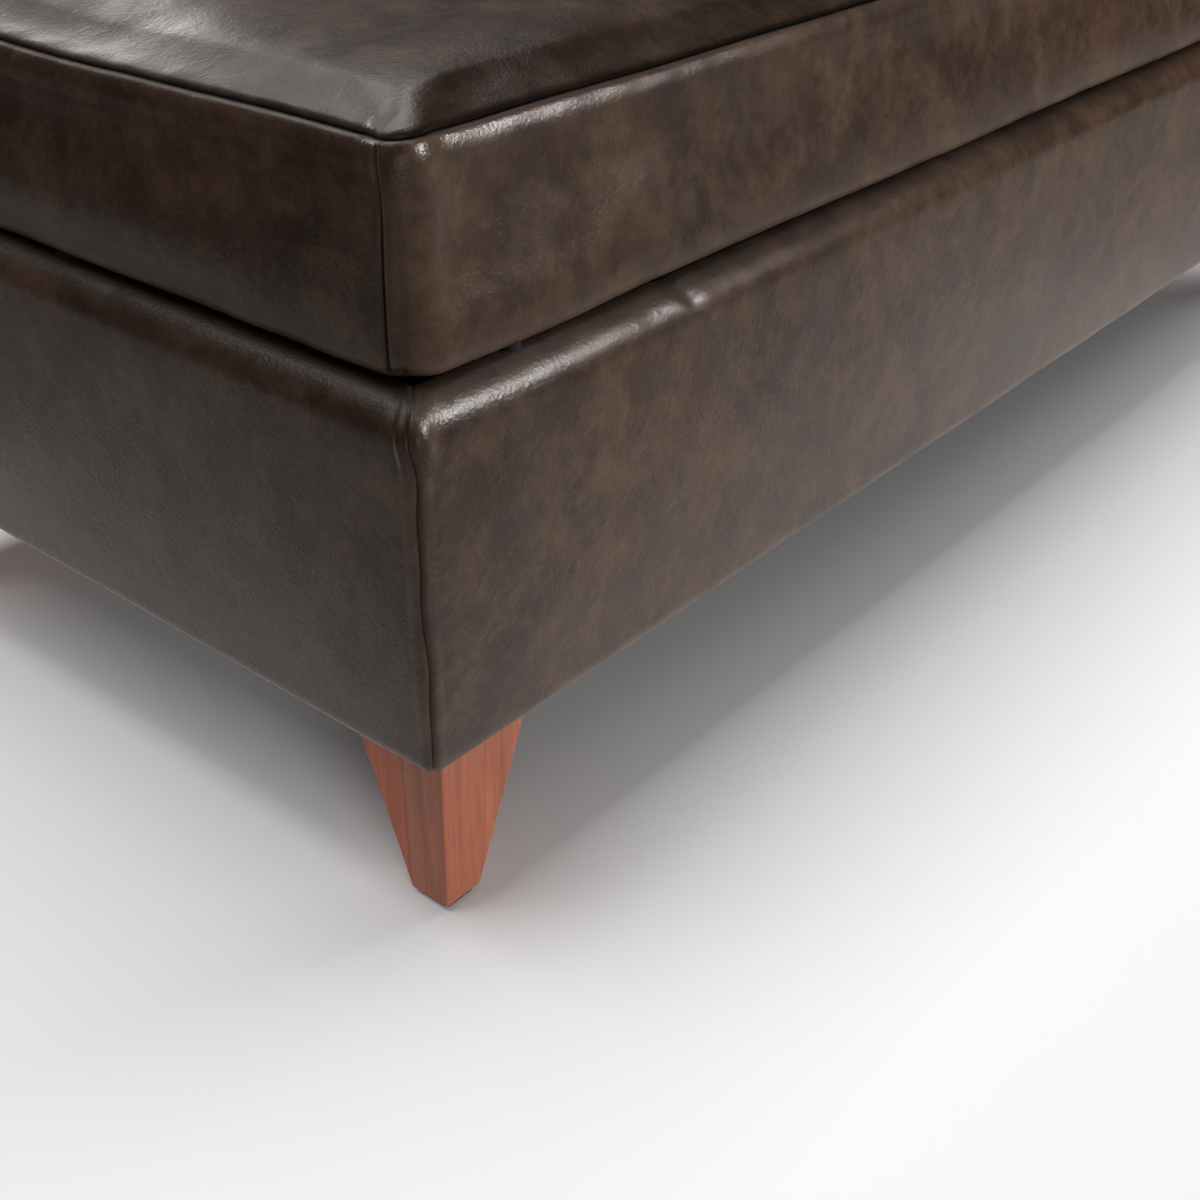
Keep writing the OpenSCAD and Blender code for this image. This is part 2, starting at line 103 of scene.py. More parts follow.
def run(p, q, n, angle):
    """Points from p to q without its ends, all facing one way."""
    t = np.linspace(0, 1, n + 1)[1:-1]
    return [(p[0] + (q[0] - p[0]) * k, p[1] + (q[1] - p[1]) * k, math.radians(angle)) for k in t]


# ------------------------------------------------------------------ meshes


def grid_faces(rows, cols, flip=False):
    i, j = np.meshgrid(np.arange(rows - 1), np.arange(cols - 1), indexing="ij")
    a = (i * cols + j).ravel()
    f = np.stack([a, a + 1, a + cols + 1, a + cols], axis=1)
    return f[:, ::-1] if flip else f


def make(name, points, faces, material, body, smooth=True):
    """A mesh from points in millimetres."""
    me = bpy.data.meshes.new(name)
    me.from_pydata((np.asarray(points) * MM).tolist(), [], [list(map(int, f)) for f in faces])
    me.validate()
    me.update()
    if smooth:
        me.shade_smooth()
    o = bpy.data.objects.new(name, me)
    bpy.context.scene.collection.objects.link(o)
    me.materials.append(material)
    if body:
        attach(o, body)
    return o


def attribute(o, name, values):
    a = o.data.attributes.new(name, "FLOAT", "POINT")
    a.data.foreach_set("value", np.asarray(values, dtype=np.float32))


def thicken(o, mm, subdivide=0):
    """Gives a surface its thickness inwards, after smoothing it if asked."""
    if subdivide:
        s = o.modifiers.new("smooth", "SUBSURF")
        s.levels = s.render_levels = subdivide
    m = o.modifiers.new("thickness", "SOLIDIFY")
    m.thickness, m.offset, m.use_even_offset = mm * MM, -1, False


def ease(o, mm, segments, angle):
    """Rounds the edges that turn by more than angle degrees."""
    b = o.modifiers.new("edges", "BEVEL")
    b.width, b.segments, b.limit_method, b.angle_limit = mm * MM, segments, "ANGLE", math.radians(angle)
    b.harden_normals = False


# ------------------------------------------------------------------ materials


class Material:
    """A short way to write shader nodes."""

    def __init__(self, name):
        self.m = bpy.data.materials.new(name)
        self.m.use_nodes = True
        self.tree = self.m.node_tree
        self.bsdf = self.tree.nodes["Principled BSDF"]
        self.coord = self.tree.nodes.new("ShaderNodeTexCoord").outputs["Object"]

    def node(self, kind, inputs=None, out=0, **props):
        n = self.tree.nodes.new("ShaderNode" + kind)
        for k, v in props.items():
            setattr(n, k, v)
        for k, v in (inputs or {}).items():
            if isinstance(v, bpy.types.NodeSocket):
                self.tree.links.new(v, n.inputs[k])
            else:
                n.inputs[k].default_value = v
        return n.outputs[out]

    def set(self, **values):
        for k, v in values.items():
            socket = self.bsdf.inputs[k.replace("_", " ")]
            if isinstance(v, bpy.types.NodeSocket):
                self.tree.links.new(v, socket)
            else:
                socket.default_value = v
        return self

    def scaled(self, x, y, z):
        return self.node("Mapping", {"Vector": self.coord, "Scale": (x, y, z)})

    def noise(self, scale, detail=4, rough=0.55, distort=0.0, vector=None, w=None):
        inputs = {"Vector": self.coord if vector is None else vector, "Scale": scale, "Detail": detail,
                  "Roughness": rough, "Distortion": distort}
        if w is not None:
            inputs["W"] = w
        return self.node("TexNoise", inputs, noise_dimensions="4D" if w is not None else "3D")

    def cells(self, scale, vector=None, feature="F1", out="Distance", random=1.0):
        return self.node("TexVoronoi", {"Vector": self.coord if vector is None else vector, "Scale": scale,
                                        "Randomness": random}, out=out, feature=feature)

    def ramp(self, value, *stops):
        n = self.tree.nodes.new("ShaderNodeValToRGB")
        self.tree.links.new(value, n.inputs[0])
        e = n.color_ramp.elements
        while len(e) < len(stops):
            e.new(0.5)
        for k, (at, c) in enumerate(stops):
            e[k].position = at
            e[k].color = (*c, 1) if isinstance(c, tuple) else (c, c, c, 1)
        return n.outputs[0]

    def mix(self, factor, a, b, blend="MIX"):
        return self.node("Mix", {0: factor, 6: a if isinstance(a, bpy.types.NodeSocket) else (*a, 1),
                                 7: b if isinstance(b, bpy.types.NodeSocket) else (*b, 1)},
                         out=2, data_type="RGBA", blend_type=blend)

    def math(self, op, a, b=0.0, c=0.0, clamp=False):
        return self.node("Math", {0: a, 1: b, 2: c}, operation=op, use_clamp=clamp)

    def value(self, name):
        return self.node("Attribute", out="Fac", attribute_name=name)

    def bump(self, height, distance, strength=1.0, normal=None):
        inputs = {"Height": height, "Distance": distance, "Strength": strength}
        if normal is not None:
            inputs["Normal"] = normal
        return self.node("Bump", inputs)


def leather():
    """Pull-up leather: cool and tan patches on dark brown, pebbled. One attribute lightens it where worn and with
    painted floor light on down-turned edges; the seam attribute darkens it at the seams and with painted shade on the
    box's roll under the lid.
    """
    k = Material("leather")
    own = k.math("MULTIPLY", k.node("ObjectInfo", out="Random"), 40.0)
    cloud = k.noise(9.0, 6, 0.62, 0.9, w=own)
    patch = k.noise(34, 6, 0.60, 0.4, w=own)
    fleck = k.noise(120, 5, 0.65, 0.8, w=own)
    fine = k.noise(620, 3, 0.6, w=own)
    base = k.ramp(cloud, (0.32, (0.026, 0.0120, 0.0070)), (0.5, (0.042, 0.0200, 0.0115)),
                  (0.68, (0.066, 0.0320, 0.0175)))
    tan = k.ramp(k.math("ADD", k.math("MULTIPLY", patch, 0.68), k.math("MULTIPLY", fleck, 0.32)),
                 (0.44, 0.0), (0.54, 0.5), (0.65, 1.0))
    colour = k.mix(k.math("MULTIPLY", tan, 0.60), base, (0.135, 0.077, 0.038))
    cool = k.ramp(k.noise(19, 6, 0.6, 1.2, w=k.math("ADD", own, 9.0)), (0.50, 0.0), (0.66, 1.0))
    colour = k.mix(k.math("MULTIPLY", cool, 0.5), colour, (0.032, 0.0205, 0.0180))
    stray = k.node("TexNoise", {"Vector": k.coord, "Scale": 45.0}, out="Color")
    strayed = k.node("VectorMath", {0: k.coord, 1: stray}, operation="ADD")
    vein = k.ramp(k.cells(70, strayed, "DISTANCE_TO_EDGE"), (0.0, 1.0), (0.05, 0.0))
    colour = k.mix(k.math("MULTIPLY", vein, 0.10), colour, (0.13, 0.085, 0.055))
    colour = k.mix(0.5, colour, k.ramp(fine, (0.3, 0.74), (0.7, 1.26)), "MULTIPLY")
    # lighter tan where worn, and painted light from the floor on down-turned edges
    colour = k.mix(k.math("MULTIPLY", k.value("wear_and_floor_light"), 0.6, clamp=True), colour, (0.165, 0.110, 0.078))
    # near black at the seams, and painted shade on the top of the box's roll under the lid
    colour = k.mix(k.math("MULTIPLY", k.value("seam"), 0.9, clamp=True), colour, (0.004, 0.003, 0.0025))
    pebble, pebble2 = k.cells(480, feature="SMOOTH_F1"), k.cells(900)
    crease = k.noise(60, 5, 0.62, 1.6, w=own)
    height = k.math("ADD", k.math("MULTIPLY", pebble, 0.75), k.math("MULTIPLY", pebble2, 0.35))
    n = k.bump(crease, 0.0009, 0.35)  # metres
    n = k.bump(height, 0.0003, 0.58, n)
    rough = k.math("ADD", k.ramp(k.math("ADD", k.math("MULTIPLY", patch, 0.6), k.math("MULTIPLY", fine, 0.4)),
                                 (0.3, 0.29), (0.7, 0.41)), k.math("MULTIPLY", k.value("seam"), 0.2))
    k.set(Base_Color=colour, Roughness=rough, Normal=n, Specular_IOR_Level=0.38)
    return k.m


def weave(name, dark, light, pitch, roughness=0.9, sheen=0.15):
    """Plain woven cloth, pitch millimetres from thread to thread."""
    k = Material(name)
    threads = {"Vector": k.coord, "Scale": 1000 / pitch / 6.283, "Distortion": 0.4, "Detail": 2.0}
    u, v, w = (k.node("TexWave", threads, out="Fac", bands_direction=axis) for axis in "XYZ")
    thread = k.math("MULTIPLY", k.math("MULTIPLY", k.math("ADD", u, 0.35), k.math("ADD", v, 0.35)),
                    k.math("ADD", w, 0.35))
    tone = k.math("ADD", k.math("MULTIPLY", thread, 0.45), k.math("MULTIPLY", k.noise(30, 5, 0.6), 0.5))
    k.set(Base_Color=k.ramp(tone, (0.2, dark), (0.9, light)), Roughness=roughness, Sheen_Weight=sheen,
          Normal=k.bump(k.math("ADD", thread, k.math("MULTIPLY", k.noise(900, 3), 0.5)), 0.0004, 0.7))
    return k.m


def nonwoven(name, colour):
    """Matted fibres: batting, or the dust cloth under the box."""
    k = Material(name)
    fibre = k.noise(420, 6, 0.75, 2.5)
    k.set(Base_Color=k.mix(fibre, tuple(c * 0.55 for c in colour), tuple(c * 1.6 for c in colour)),
          Roughness=0.95, Sheen_Weight=0.1,
          Normal=k.bump(k.math("ADD", fibre, k.cells(260)), 0.0003, 0.6))
    return k.m


def foam(name, colour):
    """Open-cell foam."""
    k = Material(name)
    cell = k.cells(420, feature="F1")
    deep = tuple(c * 0.6 for c in colour)
    k.set(Base_Color=k.mix(k.ramp(cell, (0.1, 0.0), (0.7, 1.0)), deep, colour), Roughness=0.95,
          Normal=k.bump(cell, 0.0009, 0.9))
    return k.m


def timber(name, dark, light, grain, roughness=0.5, contrast=0.5):
    """Bare wood. grain is the noise scale on each axis, smallest along the fibres."""
    k = Material(name)
    long = k.scaled(*grain)
    band = k.noise(1.0, 7, 0.62, 0.5, vector=long)
    pore = k.noise(9.0, 4, 0.7, 0.1, vector=long)
    broad = k.noise(14, 4, 0.55, 0.8)
    tone = k.math("ADD", k.math("MULTIPLY", band, contrast), k.math("MULTIPLY", broad, 1 - contrast))
    colour = k.ramp(tone, (0.34, dark), (0.66, light))
    colour = k.mix(k.ramp(pore, (0.55, 0.0), (0.72, 0.55)), colour, tuple(c * 0.45 for c in dark))
    k.set(Base_Color=colour, Roughness=k.math("ADD", k.math("MULTIPLY", pore, 0.2), roughness - 0.1),
          Normal=k.bump(k.math("ADD", pore, k.math("MULTIPLY", band, 0.6)), 0.00025, 0.5))
    return k.m


def leg_wood():
    """Reddish stained hardwood, glued up from two staves: attribute stave is 1 on the front one."""
    k = Material("leg_wood")
    stave = k.math("GREATER_THAN", k.value("stave"), 0.5)
    shift = k.node("CombineXYZ", {0: k.math("MULTIPLY", stave, 0.37), 1: k.math("MULTIPLY", stave, 0.21),
                                  2: k.math("MULTIPLY", k.node("ObjectInfo", out="Random"), 3.0)})
    at = k.node("VectorMath", {0: k.coord, 1: shift}, operation="ADD")
    long = k.node("Mapping", {"Vector": at, "Scale": (210, 210, 11)})
    band = k.noise(0.55, 6, 0.6, 0.9, vector=long)
    streak = k.noise(2.2, 6, 0.7, 0.3, vector=long)
    pore = k.noise(7.5, 3, 0.75, 0.0, vector=k.node("Mapping", {"Vector": at, "Scale": (230, 230, 26)}))
    front = k.ramp(band, (0.30, (0.310, 0.082, 0.040)), (0.72, (0.485, 0.158, 0.072)))
    back = k.ramp(band, (0.30, (0.390, 0.076, 0.022)), (0.72, (0.560, 0.130, 0.040)))
    colour = k.mix(stave, back, front)
    colour = k.mix(k.ramp(streak, (0.35, 0.0), (0.8, 0.5)), colour, (0.21, 0.045, 0.022))
    colour = k.mix(k.ramp(pore, (0.56, 0.0), (0.70, 0.5)), colour, (0.07, 0.022, 0.014))
    line = k.ramp(k.math("ABSOLUTE", k.math("SUBTRACT", k.value("stave"), 0.5)), (0.0, 1.0), (0.012, 0.0))
    colour = k.mix(k.math("MULTIPLY", line, 0.5), colour, (0.07, 0.025, 0.016))
    colour = k.mix(k.math("MULTIPLY", k.value("wear_and_floor_light"), 0.35, clamp=True), colour, (0.42, 0.20, 0.12))
    k.set(Base_Color=colour, Roughness=k.math("ADD", k.math("MULTIPLY", pore, 0.16), 0.36),
          Normal=k.bump(k.math("ADD", pore, k.math("MULTIPLY", streak, 0.7)), 0.00022, 0.5),
          Specular_IOR_Level=0.35)
    return k.m


def metal(name, colour, roughness, scratch=(900, 60, 900)):
    k = Material(name)
    line = k.noise(1.0, 4, 0.6, vector=k.scaled(*scratch))
    cloud = k.noise(55, 5, 0.6)
    k.set(Base_Color=k.mix(cloud, tuple(c * 0.75 for c in colour), colour), Metallic=1.0,
          Roughness=k.math("ADD", k.math("MULTIPLY", line, 0.22), roughness - 0.1),
          Normal=k.bump(line, 0.00008, 0.4))
    return k.m


def plastic(name, colour, roughness, bump=0.5):
    k = Material(name)
    grain = k.noise(750, 4, 0.6)
    dark, light = tuple(c * 0.8 for c in colour), tuple(min(1, c * 1.15) for c in colour)
    k.set(Base_Color=k.mix(k.noise(40, 4), dark, light),
          Roughness=k.math("ADD", k.math("MULTIPLY", grain, 0.15), roughness - 0.08),
          Normal=k.bump(grain, 0.0001, bump))
    return k.m


LEATHER = leather()
LINING = weave("lining_cloth", (0.012, 0.010, 0.009), (0.040, 0.034, 0.031), 1.1)
DUST = nonwoven("dust_cloth", (0.014, 0.014, 0.015))
FOAM = foam("foam", (0.72, 0.64, 0.42))
BATTING = nonwoven("batting", (0.62, 0.62, 0.60))
PLY = timber("plywood", (0.42, 0.27, 0.14), (0.60, 0.43, 0.25), grain=(9, 130, 130), contrast=0.6)
PINE = timber("softwood", (0.48, 0.31, 0.15), (0.66, 0.48, 0.27), grain=(6, 90, 90), contrast=0.6)
LEG = leg_wood()
PLATE = metal("hinge_steel", (0.42, 0.36, 0.28), 0.34)
ZINC = metal("zinc_steel", (0.56, 0.56, 0.55), 0.30, (500, 500, 500))
NYLON = plastic("nylon", (0.74, 0.72, 0.66), 0.45)
RUBBER = plastic("black_rubber", (0.004, 0.004, 0.004), 0.92, 0.8)

SLOTS = {"leather": LEATHER, "plywood": PLY, "softwood": PINE, "leg_wood": LEG, "foam": FOAM, "batting": BATTING,
         "lining_cloth": LINING, "dust_cloth": DUST, "hinge_steel": PLATE, "zinc_steel": ZINC, "nylon": NYLON,
         "black_rubber": RUBBER}
for part in frame["record"]["subparts"]:
    o = frame["nodes"][part["node"]]
    o.data.materials.clear()
    o.data.materials.append(SLOTS[part["material_slot"]])

# ------------------------------------------------------------------ box upholstery

SIDES = ("front", "left", "back", "right")
CORNER_R = 8.0
HALF = {"front": W, "back": W, "left": (BACK - FRONT) / 2, "right": (BACK - FRONT) / 2}
MID_Y = (FRONT + BACK) / 2


def place(side, x, v, z):
    """Points in the shared frame from x along a side, v in from its face, and height z.
    x starts at the side's middle and runs to the right of someone facing the side."""
    if side == "front":
        return np.stack([x, FRONT + v, z], axis=-1)
    if side == "back":
        return np.stack([-x, BACK - v, z], axis=-1)
    if side == "left":
        return np.stack([-W + v, MID_Y - x, z], axis=-1)
    return np.stack([W - v, MID_Y + x, z], axis=-1)


def wall_profile(side, inset=0.0):
    """Section of a box side from under the box, round its foot, up and over the rim and down inside.
    Each point is (v, z, angle of its normal)."""
    r = 8.0 if side == "back" else 20.0
    i, foot = inset, 4.0
    z0, z1 = BOX_Z + i, RIM_Z - i
    pts = [(34, z0, math.radians(-90))]
    pts += run((34, z0), (foot, z0), 5, -90)
    pts += [(foot - (foot - i) * math.cos(t), z0 + (foot - i) * (1 - math.sin(t)), -t)
            for t in np.radians(np.linspace(90, 0, 6))]
    pts += run((i, BOX_Z + foot), (i, RIM_Z - r), 42, 0)
    pts += [(r - (r - i) * math.cos(t), RIM_Z - r + (r - i) * math.sin(t), t)
            for t in np.radians(np.linspace(0, 90, 15 if r > 10 else 8))]
    pts += run((r, z1), (23, z1), 4 if r < 10 else 2, 90)
    pts += [(23 + (4 - i) * math.sin(t), RIM_Z - 4 + (4 - i) * math.cos(t), math.pi / 2 + t)
            for t in np.radians(np.linspace(0, 90, 5))]
    pts += run((27 - i, RIM_Z - 4), (27 - i, RIM_Z - 28), 5, 180)
    pts += [(27 - i, RIM_Z - 28, math.pi)]
    return np.array(pts)


# distances from a corner seam at which a cover has a column of points
EDGE = np.array([0, 0.7, 1.4, 2.2, 3.1, 4.2, 5.6, 7.2, 9, 11, 13.5, 16.5, 20, 24, 28.5, 33.5, 39, 45, 52, 60.0])


def columns(side):
    """Distances from a seam of the columns near each end, and where the even ones between lie, from 0 to 1."""
    n = int((2 * HALF[side] - 2 * EDGE[-1]) / 7.0)
    return EDGE, np.linspace(0, 1, n + 1)[1:-1]


def corner(v, e):
    """Plan of a rounded corner at inset v: e is the arc distance from its middle, positive on this side's face.
    Returns the distances in from the other face's end and from this face, and the normal's angle from this face's."""
    r = np.maximum(CORNER_R - v, 0.6)
    reach = r * math.pi / 4
    a = np.clip(math.pi / 4 - e / r, 0, math.pi / 2)
    x = v + r - r * np.sin(a) + np.maximum(e - reach, 0)
    y = v + r - r * np.cos(a) + np.maximum(-e - reach, 0)
    return x, y, a


def seam_shift(z, which):
    """How far a corner seam strays from the middle of its corner, towards the front or back face."""
    z = np.asarray(z, float)
    wave = 0.7 * np.sin(z / 21.0 + which * 1.7) + 0.5 * np.sin(z / 9.0 + which)
    fade = np.clip((z - BOX_Z - 6) / 30, 0, 1) * np.clip((RIM_Z - 2 - z) / 8, 0, 1)
    pull = -3.6 * bell(z - (RIM_Z - 12), 13) * np.clip((RIM_Z - z) / 4, 0, 1)
    return fade * wave + pull


CORNER_ID = {("front", -1): 0, ("left", 1): 0, ("front", 1): 1, ("right", -1): 1,
             ("back", -1): 2, ("right", 1): 2, ("back", 1): 3, ("left", -1): 3}


def surface(side, inset=0.0, seam=True):
    """Grid of a box side's cover: points, outward normals, distance from a seam, x, z and the row's angle."""
    prof = wall_profile(side, inset)
    v, z, phi = prof.T
    edge, middle = columns(side)
    half = HALF[side]
    own = 1 if side in ("front", "back") else -1
    cols = []
    outer = np.clip(np.cos(phi), 0, 1) * (v < 22)

    def end_column(sign, e):
        shift = seam_shift(z, CORNER_ID[(side, sign)]) * own * outer if seam else 0 * z
        x, y, a = corner(v, e + shift)
        return sign * (half - x), y, sign * a

    for e in edge:
        x, y, a = end_column(-1, e)
        cols.append((x, y, a, np.full_like(z, e)))
    xl, yl, _ = end_column(-1, edge[-1])
    xr, yr, _ = end_column(1, edge[-1])
    for t in middle:
        x = xl * (1 - t) + xr * t
        cols.append((x, yl * (1 - t) + yr * t, 0 * z, np.minimum(x + half, half - x)))
    for e in edge[::-1]:
        x, y, a = end_column(1, e)
        cols.append((x, y, a, np.full_like(z, e)))
    x, y, a, e = (np.stack([c[i] for c in cols], axis=1) for i in range(4))
    zz, ph = np.broadcast_to(z[:, None], x.shape), np.broadcast_to(phi[:, None], x.shape)
    points = place(side, x, y, zz)
    origin = place(side, 0 * x, 0 * y, 0 * zz)
    normal = place(side, np.cos(ph) * np.sin(a), -np.cos(ph) * np.cos(a), np.sin(ph)) - origin
    return points, normal, e, x, zz, ph


# folds on the rolls: place along the side from its left end, height, slant, depth, width
FOLDS = {
    "front": ((216, 316, 0.55, 2.4, 5.0), (208, 312, 0.8, -1.3, 6.0), (227, 310, 0.4, -1.2, 7.0),
              (179, 317, 0.6, 0.9, 4.0), (520, 315, 0.5, 1.4, 6.0), (880, 316, -0.5, 1.6, 6.0),
              (1190, 314, -0.6, 1.5, 5.0)),
    "left": ((HALF["left"] + 60, 316, 0.6, 1.2, 6.0), (HALF["left"] - 120, 316, -0.4, 1.3, 7.0)),
}


def relief(side, p, e, x, z, ph):
    """How far the leather stands off its plain shape, in millimetres; where it is worn and where painted floor light
    lightens it; and where its seams are dark and painted shade darkens it.
    """
    n = p.reshape(-1, 3)
    shape = e.shape
    face = np.cos(ph) ** 2 * (ph > -0.1) * (ph < 1.7)
    up = np.clip((z - BOX_Z) / (RIM_Z - 20 - BOX_Z), 0, 1)
    d = 1.7 * np.sin(np.pi * up) ** 0.7 * face * np.clip(e / 60, 0, 1)
    d = d + (0.55 * fbm(n, 130, 3, 2) + 0.16 * fbm(n, 34, 5, 2)).reshape(shape) * np.clip(e / 18, 0.15, 1)
    # foam roll: soft dips, and short creases that run over it
    roll = bell(ph - 0.9, 0.75)
    d = d + roll * 0.5 * fbm(n * [1, 1, 0.3], 46, 11, 2).reshape(shape)
    for at, z0, slant, deep, wide in FOLDS.get(side, ()):
        d = d - deep * bell((x + HALF[side] - at) + (z - z0) * slant, wide) * bell(z - z0, 9)
    # the seam: a furrow with a ridge of seam allowance on each side
    outer = (ph > -1.4) & (ph < 1.75)
    stitch = 0.06 * np.sin(z * 1.6) * bell(e - 1.4, 1.2)
    ridge = np.where(side in ("front", "back"), 0.75, 1.0) + 0.25 * np.sin(z / 17.0)
    d = d + outer * (-2.8 * bell(e, 0.8) + 0.35 * ridge * bell(e - 2.6, 1.5) - 0.25 * bell(e - 7.5, 3.2)
                     + stitch)
    if side == "left":
        crescent = bell(z - (RIM_Z - 16), 12) * outer
        d = d + crescent * (1.1 * bell(e - 5.0, 1.0) - 0.7 * bell(e - 2.6, 1.2) - 0.3 * bell(e - 8.6, 2.4))
    if side == "front":
        swell = (x < 0) * outer * bell(z - (RIM_Z - 14), 11)
        d = d + swell * (1.4 * bell(e - 7.5, 4.0) - 1.0 * bell(e - 1.8, 1.2) - 0.6 * bell(e - 19, 6))
        d = d + 0.22 * bell(e, 26) * bell(ph - 1.0, 0.6) * np.sin(e / 2.7 + z / 6.0)
    # the dye wears off the roll and the seam's ridge; the down-turned bottom edge gets painted light from the floor,
    # and the top of the roll in the gap under the lid gets painted shade
    # painted floor light on the down-turned bottom edge, and a little wear on the roll
    wear_and_floor_light = bell(ph + 0.5, 0.9) * (z < BOX_Z + 8) + 0.15 * roll
    wear_and_floor_light = wear_and_floor_light + (0.9 if side == "left" else 0.35) * bell(e - 2.9, 1.0) * outer
    wear_and_floor_light = wear_and_floor_light * (0.55 + 0.45 * fbm(n, 26, 21, 3).reshape(shape))
    # painted shade: the top of the roll under the lid is darkened, and it goes out with the dark seam line
    shade = (0.62 if side == "front" else 0.8) * np.clip((ph - 0.75) / 0.6, 0, 1) * (z > BOX_Z + 20)
    return d, np.clip(wear_and_floor_light, 0, 1), np.maximum(bell(e, 1.25) * outer, shade)


def box_cover(side):
    p, nrm, e, x, z, ph = surface(side)
    d, wear_and_floor_light, seam = relief(side, p, e, x, z, ph)
    p = p + nrm * d[..., None]
    p[..., 2] = np.clip(p[..., 2], BOX_Z - 0.4, RIM_Z + 0.9)
    rows, cols = e.shape
    o = make("leather_" + side + "_cover", p.reshape(-1, 3), grid_faces(rows, cols, flip=True), LEATHER, "base")
    # one attribute holds wear and painted floor light; the seam attribute holds the dark seams and painted shade
    # under the lid
    attribute(o, "wear_and_floor_light", wear_and_floor_light.ravel())
    attribute(o, "seam", seam.ravel())
    thicken(o, 1.8, 1)
    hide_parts("leather_" + side)
    return o


for side in SIDES:
    box_cover(side)


def strip_solid(outer, inner, name, material, body):
    """A closed solid between two grids of the same shape."""
    rows, cols = outer.shape[:2]
    n = rows * cols
    faces = [*grid_faces(rows, cols, flip=True), *(grid_faces(rows, cols) + n)]
    idx = np.arange(n).reshape(rows, cols)
    for line, turn in ((idx[0], 0), (idx[-1], 1), (idx[:, 0], 1), (idx[:, -1], 0)):
        for a, b in zip(line[:-1], line[1:]):
            q = [a, b, b + n, a + n]
            faces.append(q[::-1] if turn else q)
    return make(name, np.concatenate([outer.reshape(-1, 3), inner.reshape(-1, 3)]), faces, material, body)


def box_foam(side):
    """The foam run under a box side's leather: it fills the space between the leather and the panel."""
    p, _, _, x, z, ph = surface(side, inset=2.6, seam=False)
    keep = [k for k in range(len(ph)) if -0.05 < ph[k, 0] < (0.3 if side == "back" else 1.6) and z[k, 0] > BOX_Z + 5]
    step = slice(None, None, 2)
    out = p[keep][:, step]
    v_in = 9.6 if side == "back" else np.where(z[keep][:, step] > RIM_Z - 19.5, 24.0, 9.6)
    zz = np.minimum(z[keep][:, step], RIM_Z - 2.6)
    half = HALF[side] - 9.8
    z_in = np.where(zz > RIM_Z - 20, np.maximum(zz - 1, RIM_Z - 19.5), zz)
    inner = place(side, np.clip(x[keep][:, step], -half, half), 0 * zz + v_in, z_in)
    o = strip_solid(out, inner, "foam_" + side + "_pad", FOAM, "base")
    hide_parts("foam_" + side)
    return o


for side in SIDES:
    box_foam(side)

# ------------------------------------------------------------------ lid

LX, LF, LB = lid_hi[0], lid_lo[1], lid_hi[1]
LCY, LHY = (LF + LB) / 2, (LB - LF) / 2
LID_CORNER, LID_TOP_R, LIP_R = 24.0, 15.0, 9.0  # radii: upright corners, upper edge, lower lip
CAGE_INSET, CROWN = 5.0, 9.0                    # the cover starts this much smaller at its sides and top
CLOTH_CAP = 24.0                                # furthest that the cloth may move
FULL, WRINKLED = 0.55, 0.16                     # shares of the cloth's broad shape and of its wrinkles that stay
UNDER_WIDTH = 31                                # how far the bands reach in under the board


def spaced(half, step, fine, reach):
    """Grid lines from -half to half, closer together near both ends."""
    ends = np.arange(0, reach, fine)
    n = max(2, int(round((2 * half - 2 * reach) / step)))
    inner = np.linspace(-half + reach, half - reach, n + 1)
    return np.concatenate([-half + ends, inner, (half - ends)[::-1]])


class Patchwork:
    """A mesh put together from grids that share their edge points."""

    def __init__(self):
        self.points, self.index, self.faces, self.tags = [], {}, [], []

    def point(self, p):
        key = tuple(np.round(p, 4))
        if key not in self.index:
            self.index[key] = len(self.points)
            self.points.append(p)
        return self.index[key]

    def add(self, us, vs, at, flip, tag=None):
        ids = [[self.point(at(u, v)) for v in vs] for u in us]
        for i in range(len(us) - 1):
            for j in range(len(vs) - 1):
                f = [ids[i][j], ids[i + 1][j], ids[i + 1][j + 1], ids[i][j + 1]]
                self.faces.append(f[::-1] if flip else f)
                self.tags.append(tag)


